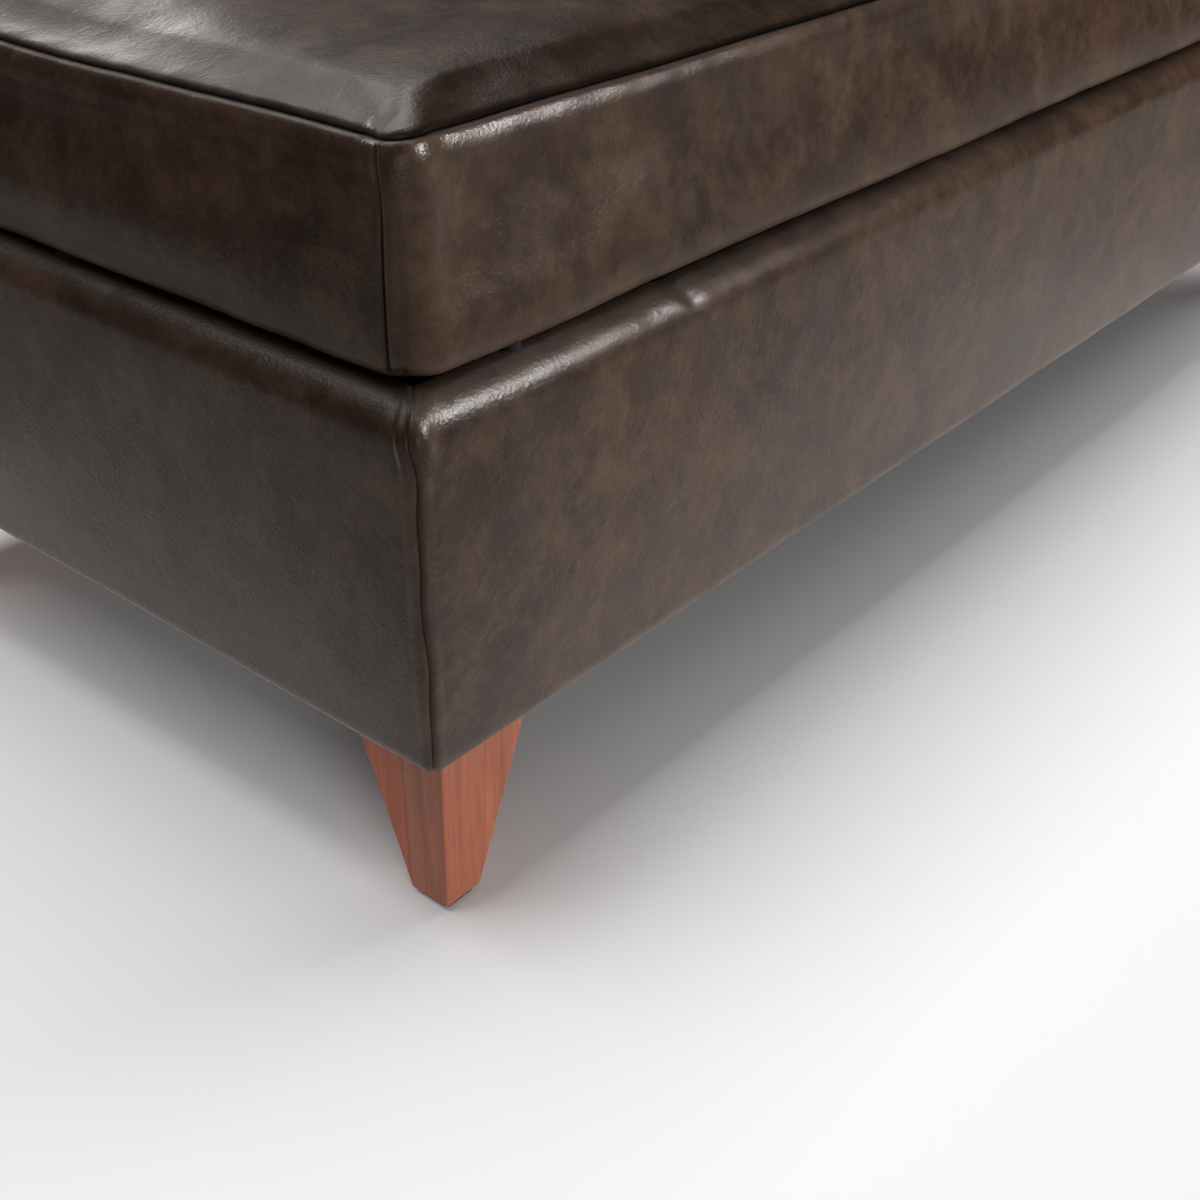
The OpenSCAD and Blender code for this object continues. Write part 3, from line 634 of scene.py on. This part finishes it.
def lid_cage(shrink, z0, z1):
    """A closed rounded box of quads. Returns points, faces and each face's side."""
    hx, hy, hz = LX - shrink, LHY - shrink, (z1 - z0) / 2
    xs, ys = spaced(hx, 9.0, 3.5, 42), spaced(hy, 9.0, 3.5, 42)
    zs = spaced(hz, 6.0, 3.5, 22)
    cage = Patchwork()
    cage.add(xs, ys, lambda u, v: (u, v, hz), False, "top")
    cage.add(xs, ys, lambda u, v: (u, v, -hz), True, "under")
    cage.add(xs, zs, lambda u, v: (u, -hy, v), False, "front")
    cage.add(xs, zs, lambda u, v: (u, hy, v), True, "back")
    cage.add(ys, zs, lambda u, v: (-hx, u, v), True, "left")
    cage.add(ys, zs, lambda u, v: (hx, u, v), False, "right")
    p = np.array(cage.points, float)
    # upright corners first, then the upper edge with a wide radius and the lip with a small one
    plan = np.array([hx, hy]) - LID_CORNER
    c = np.clip(p[:, :2], -plan, plan)
    q = (p[:, :2] - c) / LID_CORNER
    reach = np.max(np.abs(q), axis=1)
    turn = np.arctan2(np.abs(q[:, 1]), np.abs(q[:, 0]))
    turn = turn - np.radians(6 + 10 * (p[:, 2] + hz) / (2 * hz)) * np.sin(2 * turn)
    out = np.stack([np.sign(q[:, 0]) * np.cos(turn), np.sign(q[:, 1]) * np.sin(turn)], axis=1)
    r = np.where(p[:, 2] > 0, LID_TOP_R, LIP_R)
    from_edge = np.where(reach > 0, LID_CORNER * (1 - reach), 99.0)
    h = hz - np.abs(p[:, 2])
    wall = from_edge < 0.01
    a = math.pi / 4 * np.where(wall, np.clip(1 - h / r, 0, 1), 1 + np.clip(from_edge / r, 0, 1))
    curved = wall | (from_edge < r)
    inset = np.where(curved, r * (1 - np.cos(a)), from_edge)
    height = np.where(curved & (h < r), r * (1 - np.sin(a)), h)
    p2 = p.copy()
    p2[:, :2] = np.where((reach > 0)[:, None], c + out * (LID_CORNER - inset)[:, None], p[:, :2])
    p2[:, 2] = np.sign(p[:, 2]) * (hz - height)
    p2[:, 1] += LCY
    p2[:, 2] += (z0 + z1) / 2
    return p, p2, cage.faces, np.array(cage.tags), (hx, hy, hz)


def lid_cloth(points, faces, pinned):
    """Fills the cover out with Blender's cloth and returns where its points come to rest."""
    me = bpy.data.meshes.new("cloth")
    me.from_pydata((points * MM).tolist(), [], faces)
    o = bpy.data.objects.new("cloth", me)
    bpy.context.scene.collection.objects.link(o)
    group = o.vertex_groups.new(name="pin")
    group.add([int(i) for i in np.nonzero(pinned)[0]], 1.0, "REPLACE")
    mod = o.modifiers.new("Cloth", "CLOTH")
    s = mod.settings
    s.quality = 5
    s.mass = 0.4
    s.use_pressure = True
    s.uniform_pressure_force = 4.0
    s.tension_stiffness = s.compression_stiffness = 40
    s.shear_stiffness = 20
    s.bending_stiffness = 4
    s.vertex_group_mass = "pin"
    s.effector_weights.gravity = 0
    mod.collision_settings.use_collision = False
    scene = bpy.context.scene
    mod.point_cache.frame_start, mod.point_cache.frame_end = 1, 20
    for f in range(1, 21):
        scene.frame_set(f)
    e = o.evaluated_get(bpy.context.evaluated_depsgraph_get())
    got = np.zeros(len(points) * 3, np.float32)
    e.data.vertices.foreach_get("co", got)
    got = got.reshape(-1, 3) / MM
    scene.frame_set(1)
    bpy.data.objects.remove(o)
    bpy.data.meshes.remove(me)
    move = got - points
    far = np.linalg.norm(move, axis=1, keepdims=True)
    move = move * np.minimum(1, CLOTH_CAP / np.maximum(far, 1e-9))
    # the leather is glued to thick batting, which evens the cloth out: broad shape kept, wrinkles mostly lost
    f = np.array(faces)
    a, b = np.concatenate([f[:, k] for k in range(4)]), np.concatenate([f[:, (k + 1) % 4] for k in range(4)])
    count = np.bincount(a, minlength=len(points))[:, None]
    even = move.copy()
    for _ in range(40):
        total = np.zeros_like(even)
        np.add.at(total, a, even[b])
        even = 0.5 * even + 0.5 * total / count
        even[pinned] = 0
    rise = np.clip((points[:, 2:] - points[:, 2].min()) / 42, 0, 1)
    return points + rise * rise * (3 - 2 * rise) * (FULL * even + WRINKLED * (move - even))


def vertex_normals(points, faces):
    f = np.array(faces)
    n = np.cross(points[f[:, 2]] - points[f[:, 0]], points[f[:, 3]] - points[f[:, 1]])
    out = np.zeros_like(points)
    for k in range(4):
        np.add.at(out, f[:, k], n)
    return out / np.maximum(np.linalg.norm(out, axis=1, keepdims=True), 1e-12)


def fold_back_edge(p, start, n, hx, hy, hz):
    """Along the back the board comes close to the edge, so the leather goes square round it."""
    sx, sy, sz = start.T
    height, side_y = sz + hz, hy - sy
    wall = (np.abs(sx) >= hx - 0.01) | (np.abs(sy) >= hy - 0.01)
    level = height[height >= 12].min()
    above = {(round(sx[i], 2), round(sy[i], 2)): i for i in np.nonzero(wall & (np.abs(height - level) < 0.01))[0]}
    for i in np.nonzero(wall & (height < level) & (side_y < 26))[0]:
        j = above[(round(sx[i], 2), round(sy[i], 2))]
        t = np.clip((26 - side_y[i]) / 12, 0, 1)
        to = p[j] - np.array([*n[j][:2], 0]) * 0.7 * (height[i] < 0.01)
        round_corner = side_y[i] > 0.01 or abs(sx[i]) >= hx - 22
        to[:2] += n[j][:2] * 1.8 * (1 - height[i] / level) * round_corner
        if not round_corner:
            to[1] = max(to[1], LB - (4.2 if height[i] < 0.01 else 3.6))
        to[2] = LID_Z + 0.4 + height[i] * (p[j][2] - LID_Z - 0.4) / level
        p[i] = p[i] * (1 - t) + to * t
    for i in np.nonzero(~wall & (height < 0.01) & (side_y < 12))[0]:
        j = above.get((round(sx[i], 2), round(hy, 2)))
        if j is not None and abs(sx[i]) < hx - 22:
            p[i, 1] = max(p[j][1], LB - 3.6) - side_y[i]
        p[i, 2] = LID_Z + 0.3


def build_lid():
    start, rest, faces, tags, (hx, hy, hz) = lid_cage(CAGE_INSET, LID_Z, SEAT_Z - CROWN)
    pinned = start[:, 2] <= -hz + 4
    p = lid_cloth(rest, faces, pinned)
    sx, sy, sz = start.T
    # where each point is on the cover: the top panel's seam, and the seams near the four upright corners
    side_x, side_y = hx - np.abs(sx), hy - np.abs(sy)
    on_top = sz >= hz - 0.01
    inset = np.minimum(side_x, side_y)
    seam_in = 3.5
    to_top_seam = np.where(on_top, np.abs(inset - seam_in), np.abs(hz - sz) + seam_in)
    to_top_seam = np.where(sz < -hz + 0.01, 99.0, to_top_seam)
    corner_in = 14.0
    on_end = np.abs(sx) >= hx - 0.01
    to_upright = np.where(on_end, np.abs(side_y - corner_in), 99.0)
    to_upright = np.where(on_top, 99.0, to_upright)
    under = sz <= -hz + 0.01
    n = vertex_normals(p, faces)
    d = 0.5 * fbm(p, 110, 31, 2) + 0.22 * fbm(p, 30, 33, 2)
    d = d * np.where(under, 0.1, 1.0)
    d += 0.6 * bell(to_top_seam - 3.6, 2.4) - 1.9 * bell(to_top_seam, 1.6)
    d += 0.3 * bell(to_upright - 3.5, 2.2) - 1.4 * bell(to_upright, 1.4)
    # puckers beside the seams, and soft pulls in towards the corners
    ripple = np.sin(np.where(np.abs(sy) > hy - 0.01, sx, sy) / 6.1 + 2.5 * value_noise(p, 70, 41))
    d += 0.35 * bell(to_top_seam - 7, 6) * ripple
    lip = bell(sz + hz, 9) * np.where(under, 0.4, 1.0)
    d += lip * 0.7 * fbm(p * [1, 1, 0.3], 38, 45, 2)
    p = p + n * d[:, None]
    # the lip hangs a little outside the board, lowest near the front corners
    droop = np.full(len(p), 2.4)
    for at, wide, deep in ((105, 55, 2.6), (520, 90, 1.2), (880, 80, 1.6), (1270, 60, 2.0)):
        droop += np.where(sy < -hy + 30, deep * bell(sx + W - at, wide), 0)
    out_in = np.minimum(LX - np.abs(p[:, 0]), p[:, 1] - LF)
    p[:, 2] -= droop * bell(sz + hz, 14) * np.clip((13 - out_in) / 7, 0, 1) * np.clip((LB - 25 - p[:, 1]) / 30, 0, 1)
    tuck = bell(np.hypot(side_x, side_y), 30) * (sz < 0) * bell(sz + hz, 12)
    p[:, 2] += 3.0 * tuck * on_end
    low = LID_Z - 5.5
    p[:, 2] = np.clip(p[:, 2], low, SEAT_Z + 9)
    fold_back_edge(p, start, n, hx, hy, hz)
    deep_under = under & (inset > 19)
    p[deep_under, 2] = np.maximum(p[deep_under, 2], LID_Z + 0.2)
    p[:, 1] = np.minimum(p[:, 1], LB + 2.0)
    p[:, 0] = np.clip(p[:, 0], -LX - 3, LX + 3)
    p[:, 1] = np.maximum(p[:, 1], LF - 4.5)
    return start, p, faces, tags, (hx, hy, hz), to_top_seam, to_upright, corner_in, seam_in


def lid_pieces():
    start, p, faces, tags, (hx, hy, hz), top_seam, upright, corner_in, seam_in = build_lid()
    f = np.array(faces)
    mid = start[f].mean(axis=1)
    mid_in = np.minimum(hx - np.abs(mid[:, 0]), hy - np.abs(mid[:, 1]))
    piece = tags.astype(object).copy()
    piece[(tags == "top") & (mid_in < seam_in)] = "rim"
    piece[(tags == "under") & (mid_in > UNDER_WIDTH)] = "none"
    piece[(tags == "under") & (mid_in <= UNDER_WIDTH)] = "rim"
    close = (hy - np.abs(mid[:, 1])) < corner_in
    end = (tags == "left") | (tags == "right")
    piece[end & close & (mid[:, 1] < 0)] = "front"
    piece[end & close & (mid[:, 1] > 0)] = "back"
    rim = piece == "rim"
    dx, dy = hx - np.abs(mid[:, 0]), hy - np.abs(mid[:, 1])
    to_end = rim & (dy >= np.minimum(corner_in, dx + 1e9 * (dx > UNDER_WIDTH))) & (dx < dy)
    piece[to_end & (mid[:, 0] < 0)] = "left"
    piece[to_end & (mid[:, 0] > 0)] = "right"
    rest = rim & ~to_end
    piece[rest & (mid[:, 1] < 0)] = "front"
    piece[rest & (mid[:, 1] > 0)] = "back"
    # painted light from the floor on the lid's down-turned lip, and wear on the seam ridges
    wear_and_floor_light = 0.95 * bell(start[:, 2] + hz - 3, 8) * (0.6 + 0.4 * fbm(p, 30, 51, 3))
    wear_and_floor_light = wear_and_floor_light + 0.3 * bell(np.minimum(top_seam, upright) - 3.4, 2)
    seam = np.maximum(bell(top_seam, 1.2), bell(upright, 1.1))
    for name in ("top", "front", "back", "left", "right"):
        own = f[piece == name]
        used, inv = np.unique(own, return_inverse=True)
        node = "lid_leather_top" if name == "top" else "lid_band_" + name
        o = make(node + "_cover", p[used], inv.reshape(own.shape), LEATHER, "lid")
        attribute(o, "wear_and_floor_light", np.clip(wear_and_floor_light[used], 0, 1))
        attribute(o, "seam", np.clip(seam[used], 0, 1))
        thicken(o, 1.6, 1)
        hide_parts(node)
    # the batting and the foam follow the cover, a little inside it
    n = vertex_normals(p, faces)
    for name, depth, material, fill in (("lid_batting", 3.2, BATTING, 0.8), ("lid_foam", 9.5, FOAM, 1.0)):
        q = p - n * depth
        floor = LID_Z + 2.4 if name == "lid_batting" else LID_Z + 17.6
        q[:, 2] = np.maximum(q[:, 2], floor)
        o = make(name + "_fill", q, faces, material, "lid")
        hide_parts(name)


lid_pieces()

# ------------------------------------------------------------------ cloth sheets


def tray():
    """The storage lining: one piece of cloth stapled to the floor and the walls, slightly slack."""
    lo, hi = mm_box("storage_lining")
    t = 1.3
    xs = np.linspace(lo[0] + t, hi[0] - t, 118)
    ys = np.linspace(lo[1] + t, hi[1] - t, 56)
    zs = np.linspace(lo[2] + t, hi[2], 15)
    cloth = Patchwork()
    cloth.add(xs, ys, lambda u, v: (u, v, zs[0]), False)
    cloth.add(xs, zs, lambda u, v: (u, ys[0], v), True)
    cloth.add(xs, zs, lambda u, v: (u, ys[-1], v), False)
    cloth.add(ys, zs, lambda u, v: (xs[0], u, v), False)
    cloth.add(ys, zs, lambda u, v: (xs[-1], u, v), True)
    p = np.array(cloth.points)
    slack = 0.5 + 0.5 * fbm(p, 90, 61, 3)
    inward = np.zeros_like(p)
    wall_x = np.minimum(p[:, 0] - xs[0], xs[-1] - p[:, 0])
    wall_y = np.minimum(p[:, 1] - ys[0], ys[-1] - p[:, 1])
    up = (p[:, 2] - zs[0]) / (zs[-1] - zs[0])
    held = np.clip(np.sin(np.pi * np.clip(up, 0, 1)), 0, 1)
    inward[:, 0] = np.where(wall_x < 0.5, -np.sign(p[:, 0]) * held, 0)
    inward[:, 1] = np.where(wall_y < 0.5, -np.sign(p[:, 1] - (ys[0] + ys[-1]) / 2) * held, 0)
    inward[:, 2] = np.where(up < 0.01, np.clip(np.minimum(wall_x, wall_y) / 40, 0, 1), 0)
    p = p + inward * (1.2 * np.clip(slack, 0, 1.2))[:, None]
    o = make("storage_lining_cloth", p, cloth.faces, LINING, "base")
    m = o.modifiers.new("thickness", "SOLIDIFY")
    m.thickness, m.offset = 1.0 * MM, -1
    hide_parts("storage_lining")


def flat_sheet(node, material, body, thick, sag, seed):
    """A cloth stapled flat at its edges. sag lets its middle hang or ripple."""
    lo, hi = mm_box(node)
    nx, ny = int((hi[0] - lo[0]) / 11), int((hi[1] - lo[1]) / 11)
    x, y = np.meshgrid(np.linspace(lo[0], hi[0], nx), np.linspace(lo[1], hi[1], ny), indexing="ij")
    edge = np.minimum(np.minimum(x - lo[0], hi[0] - x), np.minimum(y - lo[1], hi[1] - y))
    z = np.full_like(x, hi[2] - 0.1)
    p = np.stack([x, y, z], axis=-1).reshape(-1, 3)
    p[:, 2] -= np.clip(edge.ravel() / 60, 0, 1) * sag * (0.6 + 0.4 * fbm(p, 120, seed, 3))
    o = make(node + "_cloth", p, grid_faces(nx, ny, flip=False), material, body)
    m = o.modifiers.new("thickness", "SOLIDIFY")
    m.thickness, m.offset = thick * MM, -1
    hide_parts(node)


tray()
flat_sheet("dust_cover", DUST, "base", 0.5, 2.0, 71)
flat_sheet("lid_lining", LINING, "lid", 0.8, 0.6, 73)

# ------------------------------------------------------------------ legs and glides


LEG_TOP, LEG_FOOT, STAVE = 71, 28, 31.0  # widths of the leg's top, its foot, and its outer stave
GLIDE = 23.0                             # width of the pad under the foot


def leg(side_x, side_y, node, foot_middle):
    """A square leg that tapers to its foot, glued up from two staves. side_x and side_y say which corner it is at."""
    lo, hi = mm_box(node)
    outer_x, outer_y = (lo[0] if side_x < 0 else hi[0]), (lo[1] if side_y < 0 else hi[1])
    z0, z1 = lo[2], hi[2]
    gx, gy = foot_middle
    top_x0, top_x1 = outer_x, outer_x - side_x * LEG_TOP
    top_y0, top_y1 = outer_y, outer_y - side_y * LEG_TOP
    foot_x0, foot_x1 = gx + side_x * LEG_FOOT / 2, gx - side_x * LEG_FOOT / 2
    foot_y0, foot_y1 = gy + side_y * LEG_FOOT / 2, gy - side_y * LEG_FOOT / 2
    rows, n = 12, 8
    verts, faces = [], []
    ring = [(i / n, 0) for i in range(n)] + [(1, i / n) for i in range(n)]
    ring += [(1 - i / n, 1) for i in range(n)] + [(0, 1 - i / n) for i in range(n)]
    for k in range(rows + 1):
        t = k / rows
        for a, b in ring:
            x = (foot_x0 + (foot_x1 - foot_x0) * a) * (1 - t) + (top_x0 + (top_x1 - top_x0) * a) * t
            y = (foot_y0 + (foot_y1 - foot_y0) * b) * (1 - t) + (top_y0 + (top_y1 - top_y0) * b) * t
            verts.append((x, y, z0 + (z1 - z0) * t))
    m = len(ring)
    for k in range(rows):
        for i in range(m):
            faces.append([k * m + i, k * m + (i + 1) % m, (k + 1) * m + (i + 1) % m, (k + 1) * m + i])
    faces.append(list(range(m))[::-1])
    faces.append([rows * m + i for i in range(m)])
    if side_x * side_y < 0:
        faces = [f[::-1] for f in faces]
    at = np.array([gx, gy, z1])
    p = np.array(verts) - at
    o = make(node + "_wood", p, faces, LEG, None, smooth=False)
    o.location = Vector(at * MM)
    depth = side_y * (outer_y - (p[:, 1] + at[1]))
    attribute(o, "stave", np.clip(0.5 + (STAVE - depth) / 100.0, 0, 1))
    ease(o, 1.3, 3, 40)
    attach(o, "base")
    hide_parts(node)


glide_lo, glide_hi = mm_box("leg_glides")
for sx, name_x in ((-1, "left"), (1, "right")):
    for sy, name_y in ((-1, "front"), (1, "back")):
        x0 = glide_lo[0] if sx < 0 else glide_hi[0] - GLIDE
        y0 = glide_lo[1] if sy < 0 else glide_hi[1] - GLIDE
        leg(sx, sy, f"leg_{name_y}_{name_x}", (x0 + GLIDE / 2, y0 + GLIDE / 2))

# small CAD parts keep their shape, with eased edges
for name in ("leg_glides", "stay_bracket_left", "stay_bracket_right", "stay_arm_left", "stay_arm_right"):
    o = frame["nodes"][name]
    w = o.modifiers.new("weld", "WELD")
    w.merge_threshold = 0.00001
    ease(o, 0.3, 2, 50)

# ------------------------------------------------------------------ floor, light and camera

me = bpy.data.meshes.new("floor")
me.from_pydata([(-9, -9, 0), (9, -9, 0), (9, 9, 0), (-9, 9, 0)], [], [(0, 1, 2, 3)])
floor = bpy.data.objects.new("floor", me)
bpy.context.scene.collection.objects.link(floor)
pale = Material("pale_floor")
# a product picture's floor is lifted to white after the shot, so the camera sees a paler floor than the pieces do,
# and it turns white further out
seen = pale.node("LightPath", out="Is Camera Ray")
# painted light: further out the floor glows white, for the camera only
far = pale.node("VectorMath", {0: pale.coord, 1: (0.0, 0.3, 0.0)}, out="Value", operation="DISTANCE")
far = pale.node("MapRange", {0: far, 1: 1.9, 2: 4.5, 3: 0.0, 4: 0.80}, interpolation_type="SMOOTHSTEP")
pale.set(Base_Color=pale.mix(seen, (0.30, 0.30, 0.30), (0.86, 0.86, 0.86)), Roughness=0.7,
         Emission_Color=(1, 1, 1, 1), Emission_Strength=pale.math("MULTIPLY", far, seen))
me.materials.append(pale.m)


def group(name, objects):
    c = bpy.data.collections.new(name)
    for o in objects:
        c.objects.link(o)
    return c


pieces = [o for o in bpy.context.scene.objects if o.type == "MESH" and o is not floor]
ON_FLOOR, ON_PIECES = group("floor_light", [floor]), group("piece_light", pieces)
ON_SIDES = group("side_light", [o for o in pieces if not o.name.startswith("lid_leather_top")])
corner_at = Vector((-W * MM, FRONT * MM, 0))


def lamp(name, at, look, size, power, lit, shine=True, fill=True):
    """A softbox at a place measured from the left front corner, in metres. Like a flagged studio lamp, it lights
    only the objects in lit; shine and fill say whether it adds to gloss and to plain brightness."""
    d = bpy.data.lights.new(name, "AREA")
    d.shape = "RECTANGLE"
    (d.size, d.size_y), d.energy = size, power
    o = bpy.data.objects.new(name, d)
    at, look = corner_at + Vector(at), corner_at + Vector(look)
    o.location = at
    o.rotation_euler = (look - at).to_track_quat("-Z", "Y").to_euler()
    o.visible_camera = False
    o.visible_glossy, o.visible_diffuse = shine, fill
    o.light_linking.receiver_collection = lit
    bpy.context.scene.collection.objects.link(o)


middle = (W * MM, (BACK - FRONT) / 2 * MM)
# name, place, what it faces, size, watts, what it lights
lamp("floor_overhead", (0.81, 0.60, 2.4), (0.81, 0.60, 0), (2.6, 1.4), 54, ON_FLOOR)
lamp("floor_left", (-0.79, 0.80, 2.2), (-0.39, 0.70, 0), (1.0, 1.4), 18, ON_FLOOR)
lamp("floor_right", (3.21, -0.60, 1.5), (0.61, 0.10, 0.2), (1.4, 1.4), 34, ON_FLOOR)
lamp("floor_front", (-1.29, -2.00, 1.0), (0.31, 0.10, 0.2), (1.4, 0.8), 28, ON_FLOOR)
lamp("top_back", (0.81, 1.60, 2.3), (0.81, 1.10, 0), (2.4, 1.0), 30, ON_PIECES)
lamp("overhead", (0.75, -0.10, 2.4), (0.75, -0.10, 0), (0.9, 0.9), 6, ON_PIECES)
lamp("glint", (0.57, -0.55, 0.80), (0, 0, 0.3), (0.20, 0.20), 8, ON_SIDES, fill=False)
lamp("left", (-0.79, 0.80, 2.2), (0.31, 0.20, 0.2), (1.0, 1.4), 8, ON_PIECES)
lamp("bounce_left", (-0.22, 0.30, 0.003), (-0.22, 0.30, 1), (0.34, 0.9), 0.08, ON_PIECES)
lamp("bounce_front", (0.60, -0.24, 0.003), (0.60, -0.24, 1), (1.3, 0.34), 0.42, ON_PIECES)
lamp("right", (2.15, -2.00, 1.2), (0.75, 0.0, 0.2), (2.8, 1.8), 62, ON_SIDES, shine=False)
lamp("right_sheen", (2.15, -2.00, 1.2), (0.75, 0.0, 0.2), (2.8, 1.8), 22, ON_SIDES)
lamp("front_left", (-1.29, -2.00, 1.0), (0.31, 0.10, 0.2), (1.4, 0.8), 8, ON_PIECES)
lamp("behind", (1.0, 3.3, 1.0), (0.7, 0.5, 0.2), (1.8, 1.0), 45, ON_PIECES)
lamp("bounce", (*middle, 0.003), (*middle, 1), (1.73, 0.95), 2.3, ON_PIECES)

# a dim surround that looks pale to the camera
world = bpy.data.worlds.new("studio")
bpy.context.scene.world = world
world.use_nodes = True
surround = world.node_tree.nodes["Background"]
surround.inputs[0].default_value = (1, 1, 1, 1)
seen = world.node_tree.nodes.new("ShaderNodeLightPath").outputs["Is Camera Ray"]
level = world.node_tree.nodes.new("ShaderNodeMapRange")
level.inputs["To Min"].default_value, level.inputs["To Max"].default_value = 0.03, 0.86
world.node_tree.links.new(seen, level.inputs["Value"])
world.node_tree.links.new(level.outputs[0], surround.inputs[1])

# the camera that the photograph was fitted to
cam_data = bpy.data.cameras.new("camera")
cam_data.sensor_width, cam_data.lens = 36.0, 48.0
cam_data.clip_start, cam_data.clip_end = 0.05, 50
cam = bpy.data.objects.new("camera", cam_data)
bpy.context.scene.collection.objects.link(cam)
yaw, pitch, tilt = math.radians(39.73), math.radians(31.99), math.radians(0.4)
ahead = Vector((math.cos(pitch) * math.cos(yaw), math.cos(pitch) * math.sin(yaw), -math.sin(pitch)))
right = Vector((math.sin(yaw), -math.cos(yaw), 0))
above = right.cross(ahead)
right, above = (right * math.cos(tilt) + above * math.sin(tilt),
                above * math.cos(tilt) - right * math.sin(tilt))
turn = Matrix((right, above, -ahead)).transposed()
cam.matrix_world = Matrix.Translation(corner_at + Vector((-0.4567, -0.4929, 0.6409))) @ turn.to_4x4()
bpy.context.scene.camera = cam
bpy.context.scene.view_settings.view_transform = "Standard"
